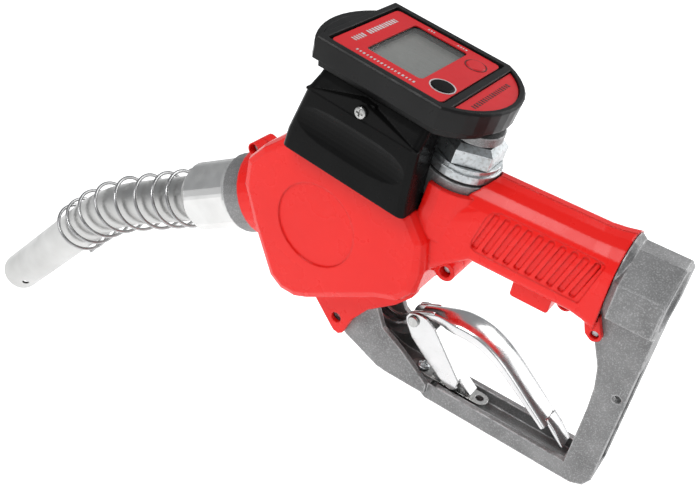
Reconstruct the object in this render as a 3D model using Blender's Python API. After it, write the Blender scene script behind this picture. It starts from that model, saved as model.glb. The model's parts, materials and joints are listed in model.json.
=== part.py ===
"""Automatic fuel nozzle with a digital oval-gear flow meter on its back.

Every dimension below is in millimetres and is scaled to metres when a piece is finished.
The origin is the centre of the inlet bore in the rear face of the octagonal boss: +X points out of
the inlet towards the hose, +Z is the meter side and -Y is the nozzle's left side.
"""
import math

import bmesh
import bpy
from mathutils import Matrix, Vector

MM = 0.001
GAP = 0.3                       # clearance left between neighbouring pieces

# Inlet boss and handle tube of the body casting
BOSS_WIDTH, BOSS_HEIGHT, BOSS_LENGTH = 38.3, 35.4, 19.1
BOSS_TOP_FLAT, BOSS_SIDE_FLAT = 9.0, 15.8
INLET_BORE, INLET_DEPTH = 12.1, 18.0
TUBE_RADIUS, TUBE_BORE = 12.4, 9.5

# Guard loop of the body casting
GUARD_BOTTOM, GUARD_RIM, GUARD_FLOOR = -102.5, -93.3, -99.3
GUARD_HALF, GUARD_INNER_HALF = 9.2, 6.4
GUARD_FRONT_HALF, GUARD_FRONT_INNER_HALF = 11.5, 8.7

# Red cover shells
COVER_HALF, COVER_WALL, COVER_EDGE = 24.4, 2.2, 4.0
HANDLE_RADIUS, HANDLE_RISE, HANDLE_BOTTOM = 15.0, 3.8, -16.5
GRIP_SLOTS, GRIP_PITCH = 10, 4.9
DISC_CENTRE, DISC_RADIUS, DISC_DEPTH = (-150.0, -30.0), 20.6, 0.8

# Spout: nozzle axis, bend and tube
SPOUT_ORIGIN, SPOUT_PITCH, SPOUT_BEND = (-204.0, -49.2), 30.2, 18.6
SPOUT_RADIUS, SPOUT_BORE, SPOUT_BEND_RADIUS = 12.0, 10.6, 150.0
SPOUT_STRAIGHT, SPOUT_TIP = 88.0, 100.0
PORT_BACK, PORT_TURN = 12.0, 45.0
SPRING_START, SPRING_STOP, SPRING_TURNS = 38.5, 155.0, 8.5
NOSE_RADIUS, NOSE_BORE = 19.9, 14.6
SPOUT_NUT_FLATS, SPOUT_NUT_RADIUS, SPOUT_NUT_LENGTH = 34.4, 18.6, 36.0

# Flow meter, in its own tilted frame
METER_ORIGIN, METER_TILT = (-129.8, 54.2), 6.93
UNION_X, UNION_RADIUS = 35.2, 16.2
OUTLET_X = 11.0
GEARS_X, GEAR_SPACING, GEAR_SWING, GEAR_TEETH = -6.0, 20.0, 2.0, 16
FASCIA_LENGTH, FASCIA_WIDTH = 52.8, 51.0
HOUSING_HALF, REAR_ARC, FRONT_ARC = 30.0, (14.0, 33.5), (5.0, 46.5)
LCD_LENGTH, LCD_WIDTH, LCD_X, LCD_Y = 27.0, 39.2, -1.0, 2.0
RESET_AT, RESET_RADIUS = (20.4, -14.0), 4.9
CALIBRATE_AT, CALIBRATE_RADIUS = (19.8, 15.1), 4.4

# Moving parts
LEVER_PIVOT = (-148.0, -66.0)
CLIP_PIVOT = (-100.0, -66.6)
VALVE_X = -126.0
LATCH_X = -148.0

FRAMES = {}
PALETTE = {
    "cast_aluminium": ((0.36, 0.37, 0.37), 0.45, 0.9),
    "red_plastic": ((0.86, 0.04, 0.025), 0.28, 0.0),
    "satin_steel": ((0.72, 0.72, 0.70), 0.3, 1.0),
    "chrome": ((0.8, 0.8, 0.8), 0.12, 1.0),
    "zinc": ((0.55, 0.58, 0.6), 0.35, 0.9),
    "black_plastic": ((0.012, 0.012, 0.013), 0.3, 0.0),
    "dark_plastic": ((0.045, 0.045, 0.048), 0.5, 0.0),
    "fascia_red": ((0.72, 0.06, 0.07), 0.5, 0.0),
    "lcd_grey": ((0.26, 0.27, 0.24), 0.35, 0.0),
    "clear_window": ((0.8, 0.85, 0.85), 0.05, 0.0),
    "rubber": ((0.02, 0.02, 0.02), 0.8, 0.0),
    "brass": ((0.7, 0.5, 0.2), 0.3, 1.0),
    "circuit_green": ((0.03, 0.2, 0.08), 0.5, 0.0),
    "acetal": ((0.75, 0.75, 0.7), 0.45, 0.0),
}


# ---------------------------------------------------------------- outlines

def rounded(points, radius, steps=3):
    """Outline with every corner turned into an arc of the given radius, or radii."""
    count = len(points)
    radii = radius if isinstance(radius, (list, tuple)) else [radius] * count
    outline = []
    for i, corner in enumerate(points):
        here = Vector(corner)
        back = (Vector(points[i - 1]) - here)
        ahead = (Vector(points[(i + 1) % count]) - here)
        if radii[i] <= 0:
            outline.append(tuple(here))
            continue
        half = back.angle(ahead) / 2
        reach = min(radii[i] / math.tan(half), 0.49 * back.length, 0.49 * ahead.length)
        size = reach * math.tan(half)
        centre = here + (back.normalized() + ahead.normalized()).normalized() * size / math.sin(half)
        start = here + back.normalized() * reach - centre
        sweep = start.angle_signed(here + ahead.normalized() * reach - centre)
        for step in range(steps + 1):
            turn = -sweep * step / steps
            outline.append((centre.x + start.x * math.cos(turn) - start.y * math.sin(turn),
                            centre.y + start.x * math.sin(turn) + start.y * math.cos(turn)))
    return outline


def offset(points, distance):
    """Outline moved outwards by a distance, or inwards by a negative one."""
    count = len(points)
    area = sum(points[i - 1][0] * points[i][1] - points[i][0] * points[i - 1][1] for i in range(count))
    side = 1 if area > 0 else -1
    moved = []
    for i in range(count):
        before = (Vector(points[i]) - Vector(points[i - 1])).normalized()
        after = (Vector(points[(i + 1) % count]) - Vector(points[i])).normalized()
        normal = Vector((before.y + after.y, -before.x - after.x)) * side
        normal.normalize()
        stretch = 1 / max(0.5, normal.dot(Vector((before.y, -before.x)) * side))
        moved.append(tuple(Vector(points[i]) + normal * distance * stretch))
    return moved


def rectangle(x0, x1, y0, y1, radius=0.0, steps=3):
    corners = [(x0, y0), (x1, y0), (x1, y1), (x0, y1)]
    return rounded(corners, radius, steps) if radius else corners


def circle(x, y, radius, steps=24, phase=0.0):
    return [(x + radius * math.cos(phase + math.tau * i / steps),
             y + radius * math.sin(phase + math.tau * i / steps)) for i in range(steps)]


def arc(x, y, radius, start, stop, steps=8):
    """Points on an arc, with its angles in degrees."""
    return [(x + radius * math.cos(math.radians(start + (stop - start) * i / steps)),
             y + radius * math.sin(math.radians(start + (stop - start) * i / steps)))
            for i in range(steps + 1)]


# ---------------------------------------------------------------- solids

def on_plane(plane, u, v, w):
    """Point (u, v) of an outline, at depth w along the plane's normal."""
    return {"XZ": (u, w, v), "XY": (u, v, w), "YZ": (w, u, v)}[plane]


def make(bm, frame=None):
    """Object in millimetres from a bmesh, which it frees."""
    if frame is not None:
        bm.transform(frame)
    bmesh.ops.recalc_face_normals(bm, faces=bm.faces[:])
    mesh = bpy.data.meshes.new("shape")
    bm.to_mesh(mesh)
    bm.free()
    item = bpy.data.objects.new("shape", mesh)
    bpy.context.scene.collection.objects.link(item)
    return item


def skin(rings, frame=None, closed=False):
    """Solid through a row of rings with equally many points, capped unless it closes on itself."""
    bm = bmesh.new()
    rows = [[bm.verts.new(point) for point in ring] for ring in rings]
    count = len(rows[0])
    pairs = list(zip(rows, rows[1:]))
    if closed:
        pairs.append((rows[-1], rows[0]))
    for low, high in pairs:
        for i in range(count):
            bm.faces.new((low[i], low[(i + 1) % count], high[(i + 1) % count], high[i]))
    if not closed:
        bm.faces.new(rows[0])
        bm.faces.new(rows[-1])
    return make(bm, frame)


def prism(outline, low, high, plane="XZ", frame=None):
    return skin([[on_plane(plane, u, v, w) for u, v in outline] for w in (low, high)], frame)


def stack(levels, plane="XY", frame=None):
    """Solid through outlines at rising depths: levels are (depth, outline)."""
    return skin([[on_plane(plane, u, v, w) for u, v in outline] for w, outline in levels], frame)


def turned(profile, frame=None, steps=24, phase=0.0):
    """Solid of revolution about the local Z axis from a closed profile of (radius, height)."""
    bm = bmesh.new()
    rows = []
    for radius, height in profile:
        if radius < 1e-6:
            rows.append([bm.verts.new((0, 0, height))])
        else:
            rows.append([bm.verts.new((u, v, height)) for u, v in circle(0, 0, radius, steps, phase)])
    for low, high in zip(rows, rows[1:] + rows[:1]):
        for i in range(steps):
            j = (i + 1) % steps
            corners = [low[i % len(low)], low[j % len(low)], high[j % len(high)], high[i % len(high)]]
            corners = [c for k, c in enumerate(corners) if c not in corners[:k]]
            if len(corners) > 2:
                bm.faces.new(corners)
    return make(bm, frame)


def cylinder(radius, low, high, frame=None, steps=24):
    return turned([(0, low), (radius, low), (radius, high), (0, high)], frame, steps)


def ring(outer, inner, low, high, frame=None, steps=24):
    return turned([(inner, low), (outer, low), (outer, high), (inner, high)], frame, steps)


def o_ring(radius, wire, height, frame=None, steps=24, sides=6):
    return turned([(radius + u, height + v) for u, v in circle(0, 0, wire, sides)], frame, steps)


def wire_along(points, radius, sides=6, frame=None, hollow=0.0):
    """Round wire, or a tube when hollow, through a list of points."""
    bm = bmesh.new()
    path = [Vector(p) for p in points]
    side = Vector((0, 1, 0))
    rows = {radius: [], hollow: []}
    for i, point in enumerate(path):
        tangent = (path[min(i + 1, len(path) - 1)] - path[max(i - 1, 0)]).normalized()
        side = (side - tangent * side.dot(tangent)).normalized()
        up = tangent.cross(side)
        for size in (radius, hollow) if hollow else (radius,):
            rows[size].append([bm.verts.new(point + side * u + up * v)
                               for u, v in circle(0, 0, size, sides)])
    for row in rows.values():
        for low, high in zip(row, row[1:]):
            for k in range(sides):
                bm.faces.new((low[k], low[(k + 1) % sides], high[(k + 1) % sides], high[k]))
    for end in (0, -1):
        if hollow:
            out, inn = rows[radius][end], rows[hollow][end]
            for k in range(sides):
                bm.faces.new((out[k], out[(k + 1) % sides], inn[(k + 1) % sides], inn[k]))
        else:
            bm.faces.new(rows[radius][end])
    return make(bm, frame)


def across(x, z, frame=None):
    """Frame with its Z axis along +Y, for pins and screws that cross the nozzle."""
    turn = Matrix.Translation((x, 0, z)) @ Matrix.Rotation(math.radians(-90), 4, "X")
    return frame @ turn if frame is not None else turn


def combine(base, operation, *tools):
    """Apply one exact Boolean after another to the base and drop the tools."""
    for tool in tools:
        step = base.modifiers.new("step", "BOOLEAN")
        step.operation = operation
        step.solver = "EXACT"
        step.object = tool
        bpy.context.view_layer.update()
        graph = bpy.context.evaluated_depsgraph_get()
        result = bpy.data.meshes.new_from_object(base.evaluated_get(graph))
        base.modifiers.clear()
        base.data = result
        bpy.data.objects.remove(tool)
        tidy(base)
    return base


def tidy(item):
    """Weld the hair-thin edges that a Boolean leaves behind."""
    bm = bmesh.new()
    bm.from_mesh(item.data)
    bmesh.ops.remove_doubles(bm, verts=bm.verts[:], dist=0.004)
    bmesh.ops.dissolve_degenerate(bm, edges=bm.edges[:], dist=0.002)
    bm.to_mesh(item.data)
    bm.free()


def union(base, *tools):
    return combine(base, "UNION", *tools)


def cut(base, *tools):
    return combine(base, "DIFFERENCE", *tools)


def copy_of(item, matrix=None):
    twin = item.copy()
    twin.data = item.data.copy()
    if matrix is not None:
        twin.data.transform(matrix)
        if matrix.determinant() < 0:
            twin.data.flip_normals()
    bpy.context.scene.collection.objects.link(twin)
    return twin


def material_named(name):
    if name in bpy.data.materials:
        return bpy.data.materials[name]
    colour, roughness, metallic = PALETTE[name]
    material = bpy.data.materials.new(name)
    material.use_nodes = True
    shader = material.node_tree.nodes["Principled BSDF"]
    shader.inputs["Base Color"].default_value = (*colour, 1)
    shader.inputs["Roughness"].default_value = roughness
    shader.inputs["Metallic"].default_value = metallic
    material.diffuse_color = (*colour, 1)
    return material


def finish(item, name, material, frame=None, pivot=(0, 0, 0), smooth=35):
    """Name, scale, shade and place a piece that is drawn in a frame, with its origin at the pivot."""
    item.name = name
    item.data.name = name
    item.data.transform(Matrix.Scale(MM, 4) @ Matrix.Translation(-Vector(pivot)))
    item.location = Vector(pivot) * MM
    item.parent = FRAMES.get(frame)
    item.data.materials.clear()
    item.data.materials.append(material_named(material))
    item.data.shade_smooth()
    item.data.set_sharp_from_angle(angle=math.radians(smooth))
    return item


# ---------------------------------------------------------------- frames

METER = (Matrix.Translation((METER_ORIGIN[0], 0, METER_ORIGIN[1]))
         @ Matrix.Rotation(math.radians(METER_TILT), 4, "Y"))
# The spout frame's Z axis runs down the spout and its X axis points up, square to it.
SPOUT = (Matrix.Translation((SPOUT_ORIGIN[0], 0, SPOUT_ORIGIN[1]))
         @ Matrix.Rotation(math.radians(-90 - SPOUT_PITCH), 4, "Y"))
ALONG_X = Matrix.Rotation(math.radians(90), 4, "Y")


def upright(x, z=0.0):
    return Matrix.Translation((x, 0, z))


def meter_axis(x, y=0.0):
    return METER @ Matrix.Translation((x, y, 0))


def add_frame(name, matrix):
    empty = bpy.data.objects.new(name, None)
    bpy.context.scene.collection.objects.link(empty)
    empty.matrix_world = Matrix.Translation(matrix.translation * MM) @ matrix.to_3x3().to_4x4()
    FRAMES[name] = empty


# ---------------------------------------------------------------- body casting

BODY_FACE = [(-172, 4), (-183, -6), (-190, -15), (-190.5, -28), (-183, -45), (-170, -69),
             (-163.7, -73), (-156, -73.2), (-149.4, -70.4), (-114, -49.7), (-104, -45.7),
             (-98.5, -38.8), (-97, -28), (-99, -14), (-107, -3.9)]
BODY_OUTLINE = offset(BODY_FACE, 2.0)
FRONT_LEG = [(-150, -64), (-143, -80), (-131, -89.5), (-111, -98), (-106, -98.6), (-84, -98.6),
             (-84, -93.3), (-95, -85.5), (-100, -82), (-112, -75.2), (-118, -64)]
FRONT_LEG_FLOOR = [(-140, -62), (-136, -80), (-129, -85.5), (-110, -94.4), (-105, -95.4),
                   (-80, -95.4), (-80, -70), (-100, -62)]
GUARD_OUTLINE = [(-90, GUARD_RIM), (-13.5, GUARD_RIM), (-13.3, -60), (-14, -48), (-16, -38),
                 (-20.9, -27), (-25.6, -20), (-28, -14), (-28, -8), (0, -8), (0, -95), (-2.6, -100.2),
                 (-8, GUARD_BOTTOM), (-84, GUARD_BOTTOM), (-90, -98.6)]
LEG_WINDOW = [(-156, -70), (-150, -90), (-134, -95), (-130, -86), (-136, -78), (-140, -70)]
SEAT_TOP, SEAT_BOTTOM, CHAMBER_FLOOR, GLAND_FLOOR = -30.0, -33.0, -47.0, -57.0


def boss_outline(scale=1.0, steps=None):
    half_w, half_h = BOSS_WIDTH / 2 * scale, BOSS_HEIGHT / 2 * scale
    top, side = BOSS_TOP_FLAT / 2 * scale, BOSS_SIDE_FLAT / 2 * scale
    corners = [(half_w, -side), (half_w, side), (top, half_h), (-top, half_h),
               (-half_w, side), (-half_w, -side), (-top, -half_h), (top, -half_h)]
    return rounded(corners, 1.2, 2)


def collar_outline(radius):
    """Half-round shoulder of the boss that meets the covers' rear edge."""
    return arc(0, HANDLE_RISE, radius, 0, 180, 12) + [(-radius, -5), (radius, -5)]


def body_casting():
    """Valve chamber, nose, handle tube, inlet boss, meter riser and guard loop, cast in one."""
    body = prism(offset(BODY_OUTLINE, -3.4), -20.5, 20.5)
    top = prism([(-200, -6), (-90, -6), (-90, 20), (-200, 20)], -40, 30)
    cut(body, top)
    union(body,
          cylinder(NOSE_RADIUS, -22, 0, SPOUT, 30),
          stack([(-100, circle(0, 0, TUBE_RADIUS)), (-21, circle(0, 0, TUBE_RADIUS))], "YZ"),
          stack([(-22.0, boss_outline(0.84)), (-BOSS_LENGTH, boss_outline()),
                 (-0.6, boss_outline()), (0, boss_outline(0.97))], "YZ"),
          stack([(-22.0, collar_outline(16.2)), (-19.4, collar_outline(14.4))], "YZ"),
          cylinder(16.6, -46, -33.9, meter_axis(UNION_X), 30),
          cylinder(12.6, -64, -45, meter_axis(UNION_X), 30),
          prism(FRONT_LEG, -GUARD_FRONT_HALF, GUARD_FRONT_HALF),
          prism(GUARD_OUTLINE, -GUARD_HALF, GUARD_HALF))
    # Guard channel, finger side, the front leg's window and the open back of the rear leg
    cut(body,
        prism(LEG_WINDOW, -6.2, 6.2),
        prism(FRONT_LEG_FLOOR, -GUARD_FRONT_INNER_HALF, GUARD_FRONT_INNER_HALF),
        prism([(-84, GUARD_FLOOR), (-14.5, GUARD_FLOOR), (-14.5, -90), (-84, -90)],
              -GUARD_INNER_HALF, GUARD_INNER_HALF),
        prism(rounded([(-9.5, -92), (4, -92), (4, -34), (-7, -34), (-9.5, -40)], 1.5, 2), -6.0, 6.0))
    # Fuel chamber with the latch sleeve standing in it, then the upright bores
    cut(body, prism(rounded([(-182, -46), (-116, -46), (-116, -33), (-182, -33)], 4), -13, 13))
    union(body, cylinder(6.6, -48, -31, upright(LATCH_X)))
    cut(body,
        cylinder(10.5, SEAT_TOP, 10, upright(VALVE_X)),
        cylinder(7.5, -40, SEAT_TOP + 1, upright(VALVE_X)),
        cylinder(4.2, -75, -40, upright(VALVE_X)),
        cylinder(5.3, -75, -57.1, upright(VALVE_X)),
        cylinder(1.9, -8.8, 8.8, across(*LEVER_PIVOT), 16),
        cylinder(9.8, -75, -56, meter_axis(OUTLET_X)),
        cylinder(4.4, -75, -10, upright(LATCH_X)),
        cylinder(10.0, -14.5, 10, upright(LATCH_X)),
        prism([(-155, -60.5), (-155, -72), (-112, -90), (-112, -60.5)], -7.4, 7.4))
    # Inlet, riser and nose bores, with the thread relief at both mouths
    cut(body,
        cylinder(TUBE_BORE, -98.5, 5, ALONG_X),
        cylinder(INLET_BORE, -INLET_DEPTH, 5, ALONG_X),
        turned([(0, -1.6), (INLET_BORE, -1.6), (INLET_BORE + 1.8, 0.2), (0, 0.2)], ALONG_X),
        cylinder(9.2, -61, -30, meter_axis(UNION_X)),
        cylinder(NOSE_BORE, -24, 2, SPOUT, 30),
        cylinder(2.8, -30, 30, across(*SCREWS["flap_screw"][0])),
        cylinder(1.7, -30, 30, across(*REAR_LUG)),
        cylinder(2.0, -12, 12, across(-3.9, -48.6)),
        cylinder(1.7, -97.9, -92, upright(-92), 16))
    return finish(body, "body_casting", "cast_aluminium")


# ---------------------------------------------------------------- red covers

REAR_LUG = (-21.4, -22.4)
# Cover screws: axis (x, z) and the half-length of the lug that the screw crosses. Each head lies
# deep in its hole.
SCREW_SINK = 3.2
SCREWS = {
    "nose_screw": ((-200.5, -20.2), 7.0),
    "flap_screw": ((-135.6, -80.6), 15.0),
    "neck_screw": ((-90.5, -31.0), 9.0),
    "handle_screw": ((-37.3, -17.5), 9.0),
}
FLAP = [(-158, -66), (-137.8, -86.6), (-135.8, -88.4), (-133, -89), (-130.8, -87.4), (-127.4, -77.3),
        (-120.2, -66.7), (-106.7, -55.6), (-99.9, -47.5), (-97.5, -34), (-112, -30)]


def handle_section(inset, grow=0.0):
    """Half-round top over straight sides, as (y, z), counter-clockwise."""
    radius = HANDLE_RADIUS - inset + grow
    low = HANDLE_BOTTOM + inset - grow
    section = arc(0, HANDLE_RISE, radius, 0, 180, 10)
    section += rounded([(-radius, HANDLE_RISE - 6), (-radius, low), (radius, low),
                        (radius, HANDLE_RISE - 6)], [0, 3.0, 3.0, 0], 3)
    return section


def cover_solid(inset):
    """Both covers as one solid, drawn smaller by the inset."""
    edge = COVER_EDGE
    levels = []
    for side in (-1, 1):
        for angle in ((90, 45, 0) if side < 0 else (0, 45, 90)):
            depth = COVER_HALF - inset - edge + edge * math.sin(math.radians(angle))
            levels.append((side * depth,
                           offset(BODY_OUTLINE, -inset - edge * (1 - math.cos(math.radians(angle))))))
    body = stack(levels, "XZ")
    half = 20.5 - inset
    neck = rounded([(-half, -42 + inset), (half, -42 + inset), (half, -4 - inset), (-half, -4 - inset)],
                   5, 5)
    bm = bmesh.new()
    for y, z in neck:
        bm.verts.new((-112, y, z))
    for y, z in handle_section(inset):
        bm.verts.new((-80, y, z))
    bmesh.ops.convex_hull(bm, input=bm.verts[:])
    handle = stack([(-90, handle_section(inset)), (-34, handle_section(inset)),
                    (-28, handle_section(inset, 0.7)), (-22.3, handle_section(inset, 1.9))], "YZ")
    parts = [make(bm), handle,
             cylinder(22.4 - inset, -26, -12, SPOUT, 30),
             cylinder(19.6 - inset, -62, -37.5 - inset, meter_axis(UNION_X), 30),
             prism(offset(FLAP, -inset), -15 + inset, 15 - inset)]
    return union(body, *parts)


def grip_panel(side):
    """Tools that sink one side's grip panel and the slanted slots in its floor."""
    low, high = sorted((side * 8, side * 20))
    panel = prism(rounded([(-81.6, -10.4), (-31.5, -10.4), (-26.5, 10.6), (-76.6, 10.6)],
                          [3, 1, 1, 5], 2), low, high)
    tools = [cut(panel, stack([(-95, handle_section(0.45)), (-20, handle_section(0.45))], "YZ"))]
    for index in range(GRIP_SLOTS):
        x = -79.2 + GRIP_PITCH * index
        slot = prism(rounded([(x - 1.35, -9.4), (x + 1.35, -9.4), (x + 7.15, 9.4), (x + 4.45, 9.4)], 0.7, 1),
                     low, high)
        tools.append(cut(slot, stack([(-95, handle_section(1.5)), (-20, handle_section(1.5))], "YZ")))
    return tools


def hull(points):
    """Convex outline round a set of points."""
    points = sorted(set(points))
    loops = []
    for row in (points, points[::-1]):
        chain = []
        for p in row:
            while len(chain) > 1 and ((chain[-1][0] - chain[-2][0]) * (p[1] - chain[-2][1])
                                      <= (chain[-1][1] - chain[-2][1]) * (p[0] - chain[-2][0])):
                chain.pop()
            chain.append(p)
        loops += chain[:-1]
    return loops


def lug(x, z, radius, half, toward):
    """Screw lug across the parting plane, drawn out towards the shell it stands on."""
    return prism(hull(circle(x, z, radius, 20) + circle(*toward, radius * 0.9, 20)), -half, half)


def covers():
    """Left and right shells of the red cover, mirror twins about the parting plane."""
    shell = cover_solid(0)
    union(shell,
          lug(*SCREWS["nose_screw"][0], 3.4, 7.0, (-194, -22)),
          lug(*SCREWS["neck_screw"][0], 4.6, 9.0, (-99, -26)),
          lug(*SCREWS["handle_screw"][0], 3.5, 9.0, (-37.3, -12)),
          prism(rectangle(-60, -42.5, -25.4, -12, 1.2, 2), -10, 10),
          prism(rounded([(-198.5, -37), (-194, -50), (-182, -52), (-182, -37)], 1.2, 2), -17, 17))
    for side in (-1, 1):
        low, high = sorted((side * 9.5, side * 12.2))
        tab = rounded([(-31, -8), (-25.2, -23.4), (-21.4, -26.2), (-17.8, -23.4), (-20.2, -18.4),
                       (-24.4, -8)], [0, 2, 2.4, 2, 2, 0], 3)
        union(shell, prism(tab, low, high))
    cut(shell, cover_solid(COVER_WALL))
    # Openings for the nose, the riser, the meter outlet, the guard and the lever
    cut(shell,
        cylinder(NOSE_RADIUS + 0.4, -30, 4, SPOUT, 30),
        cylinder(17.1, -60, -5, meter_axis(UNION_X), 30),
        prism(rectangle(-45, 30.9, -40, 40), -52.9, -10, "XY", METER),
        prism(rectangle(-163, -113, -20, 12), -14.5, 14.5),
        prism(offset(FRONT_LEG, 0.5), -GUARD_FRONT_HALF - 0.4, GUARD_FRONT_HALF + 0.4),
        prism([(-150, -62), (-150, -76), (-112, -86), (-96, -60), (-96, -40)], -9.3, 9.3),
        prism(offset(GUARD_OUTLINE, 0.4), -GUARD_HALF - GAP, GUARD_HALF + GAP),
        stack([(-40, circle(0, 0, 12.8)), (-15, circle(0, 0, 12.8))], "YZ"))
    # Flat disc on each side, grip panels and screw holes
    for side in (-1, 1):
        low, high = sorted((side * (COVER_HALF - DISC_DEPTH), side * (COVER_HALF + 5)))
        cut(shell, prism(circle(*DISC_CENTRE, DISC_RADIUS, 30), low, high))
        cut(shell, *grip_panel(side))
    for (x, z), half in SCREWS.values():
        cut(shell, cylinder(1.9, -half - 3, half + 3, across(x, z), 16),
            cylinder(2.7, -half - 3, -half + SCREW_SINK + 1.7, across(x, z), 16))
    cut(shell, cylinder(1.9, -16, 16, across(*REAR_LUG), 16))
    left = shell
    cut(left, prism(rectangle(-230, 10, -110, 30), -0.15, 60))
    keep_largest(left)
    right = copy_of(left, Matrix.Scale(-1, 4, (0, 1, 0)))
    finish(left, "left_cover", "red_plastic", smooth=30)
    finish(right, "right_cover", "red_plastic", smooth=30)


def keep_largest(item):
    """Drop slivers that an opening leaves loose from the main body of a piece."""
    bm = bmesh.new()
    bm.from_mesh(item.data)
    islands, seen = [], set()
    for start in bm.verts:
        if start in seen:
            continue
        island, queue = [], [start]
        seen.add(start)
        while queue:
            vertex = queue.pop()
            island.append(vertex)
            for edge in vertex.link_edges:
                other = edge.other_vert(vertex)
                if other not in seen:
                    seen.add(other)
                    queue.append(other)
        islands.append(island)
    islands.sort(key=len)
    for island in islands[:-1]:
        bmesh.ops.delete(bm, geom=island, context="VERTS")
    bm.to_mesh(item.data)
    bm.free()


def cover_screws():
    """Screws across the parting plane, and a headless one through the two rear tabs."""
    for name, ((x, z), half) in SCREWS.items():
        top = SCREW_SINK - half
        screw = turned([(0, top + 0.3), (2.0, top), (2.4, top + 0.5), (2.4, top + 1.4), (1.6, top + 1.4),
                        (1.6, half - 0.8), (0, half - 0.8)], across(x, z), 12)
        finish(screw, name, "zinc")
    finish(cylinder(1.4, -10.8, 10.8, across(*REAR_LUG), 12), "rear_screw", "zinc")


# ---------------------------------------------------------------- spout

def spout_point(s, side=0.0):
    """Point of the spout axis at a distance down it, in the spout frame."""
    bend = math.radians(SPOUT_BEND)
    turn = min(max((s - SPOUT_STRAIGHT) / SPOUT_BEND_RADIUS, 0), bend)
    rest = max(s - SPOUT_STRAIGHT - SPOUT_BEND_RADIUS * bend, 0)
    x = -SPOUT_BEND_RADIUS * (1 - math.cos(turn)) - rest * math.sin(turn)
    z = min(s, SPOUT_STRAIGHT) + SPOUT_BEND_RADIUS * math.sin(turn) + rest * math.cos(turn)
    return Vector((x + side * math.cos(turn), 0, z + side * math.sin(turn)))


def spout_path(start, stop, side=0.0):
    """Points of the axis from one distance to another, with the bend in short steps."""
    bend = SPOUT_BEND_RADIUS * math.radians(SPOUT_BEND)
    places = [start] + [SPOUT_STRAIGHT + bend * i / 6 for i in range(7)] + [stop]
    return [spout_point(s, side) for s in places if start <= s <= stop]


SPOUT_END = SPOUT_STRAIGHT + SPOUT_BEND_RADIUS * math.radians(SPOUT_BEND) + SPOUT_TIP


def spout():
    """Spout nut, tube, spring guard, seal, sensing tube and non-return valve."""
    flats = SPOUT_NUT_FLATS / 2
    nut = turned([(12.4, -13.5), (14.2, -13.5), (14.2, 0.5), (18.2, 0.5), (SPOUT_NUT_RADIUS, 2.5),
                  (SPOUT_NUT_RADIUS, 30), (14.8, SPOUT_NUT_LENGTH), (12.4, SPOUT_NUT_LENGTH)], None, 36)
    for k in range(6):
        turn = Matrix.Rotation(math.radians(-37 + 60 * k), 4, "Z")
        cut(nut, prism(rectangle(flats, flats + 8, -14, 14), 3.2, 40, "XY", turn))
    finish(nut, "spout_nut", "satin_steel", "spout_frame")

    tube = wire_along(spout_path(-11, SPOUT_END), SPOUT_RADIUS, 32, None, SPOUT_BORE)
    port = (Matrix.Translation(spout_point(SPOUT_END - PORT_BACK))
            @ Matrix.Rotation(math.radians(-SPOUT_BEND), 4, "Y")
            @ Matrix.Rotation(math.radians(PORT_TURN), 4, "Z") @ Matrix.Rotation(math.radians(-90), 4, "Y"))
    cut(tube, cylinder(2.2, 6, 20, port, 12))
    finish(tube, "spout_tube", "satin_steel", "spout_frame")

    steps = 12
    coil = []
    for i in range(int(SPRING_TURNS * steps) + 1):
        share = i / (SPRING_TURNS * steps)
        place = SPRING_START + (SPRING_STOP - SPRING_START) * (share - 0.045 * math.sin(math.tau * share))
        here = spout_point(place)
        up = spout_point(place, 1.0) - here
        angle = math.tau * i / steps
        coil.append(here + 14.9 * (up * math.cos(angle) + Vector((0, 1, 0)) * math.sin(angle)))
    finish(wire_along(coil, 0.95, 5), "spout_spring", "chrome", "spout_frame", smooth=80)

    finish(o_ring(13.2, 0.9, -15.0), "spout_seal", "rubber", "spout_frame")
    finish(wire_along(spout_path(2, SPOUT_END - 14, -8.2), 1.9, 8, None, 1.1),
           "vent_tube", "brass", "spout_frame")

    guide = ring(10.2, 8.8, -4, -1, None, 24)
    for k in range(3):
        turn = Matrix.Rotation(math.radians(120 * k), 4, "Z")
        union(guide, prism(rectangle(2.6, 9.2, -0.9, 0.9), -4, -1, "XY", turn))
    union(guide, ring(3.4, 2.2, -4, -1, None, 16))
    finish(guide, "check_guide", "acetal", "spout_frame")
    finish(turned([(8.0, -21.5), (13.9, -21.5), (13.9, -17.6), (9.4, -17.6), (8.0, -19.2)]),
           "check_seat", "brass", "spout_frame")
    poppet = turned([(0, -18.4), (7.6, -18.4), (9.0, -17.0), (9.0, -15.6), (1.8, -14.6), (1.8, 2.0),
                     (0, 2.0)], None, 24)
    finish(poppet, "check_poppet", "acetal", "spout_frame", (0, 0, -18.4))
    coil = [(3.0 * math.cos(math.tau * i / 10), 3.0 * math.sin(math.tau * i / 10), -9.0 + 0.1 * i)
            for i in range(41)]
    finish(wire_along(coil, 0.4, 5), "check_spring", "satin_steel", "spout_frame", smooth=80)


# ---------------------------------------------------------------- lever, clip and rack

LEVER_TOP = [(-98.5, -60.5), (-92, -57.6), (-85, -55.6), (-78, -54.6), (-71, -54.6), (-64, -56),
             (-56, -59.6), (-48, -65), (-40, -71.3), (-32, -77.7), (-26, -82.6)]
ARM = [(-152.4, -66), (-151.2, -69.4), (-147, -70.6), (-134, -74.6), (-122, -78.2), (-115, -79.8),
       (-107.5, -79.6), (-101.5, -76.4), (-96.4, -69), (-92, -62.5), (-92, -58.4), (-98.5, -61.2),
       (-103.6, -64.6), (-105.4, -70.6), (-109, -73.4), (-114, -74.6), (-120, -73.2), (-132, -68.4),
       (-145, -62.6), (-149.4, -62.2)]


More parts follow.
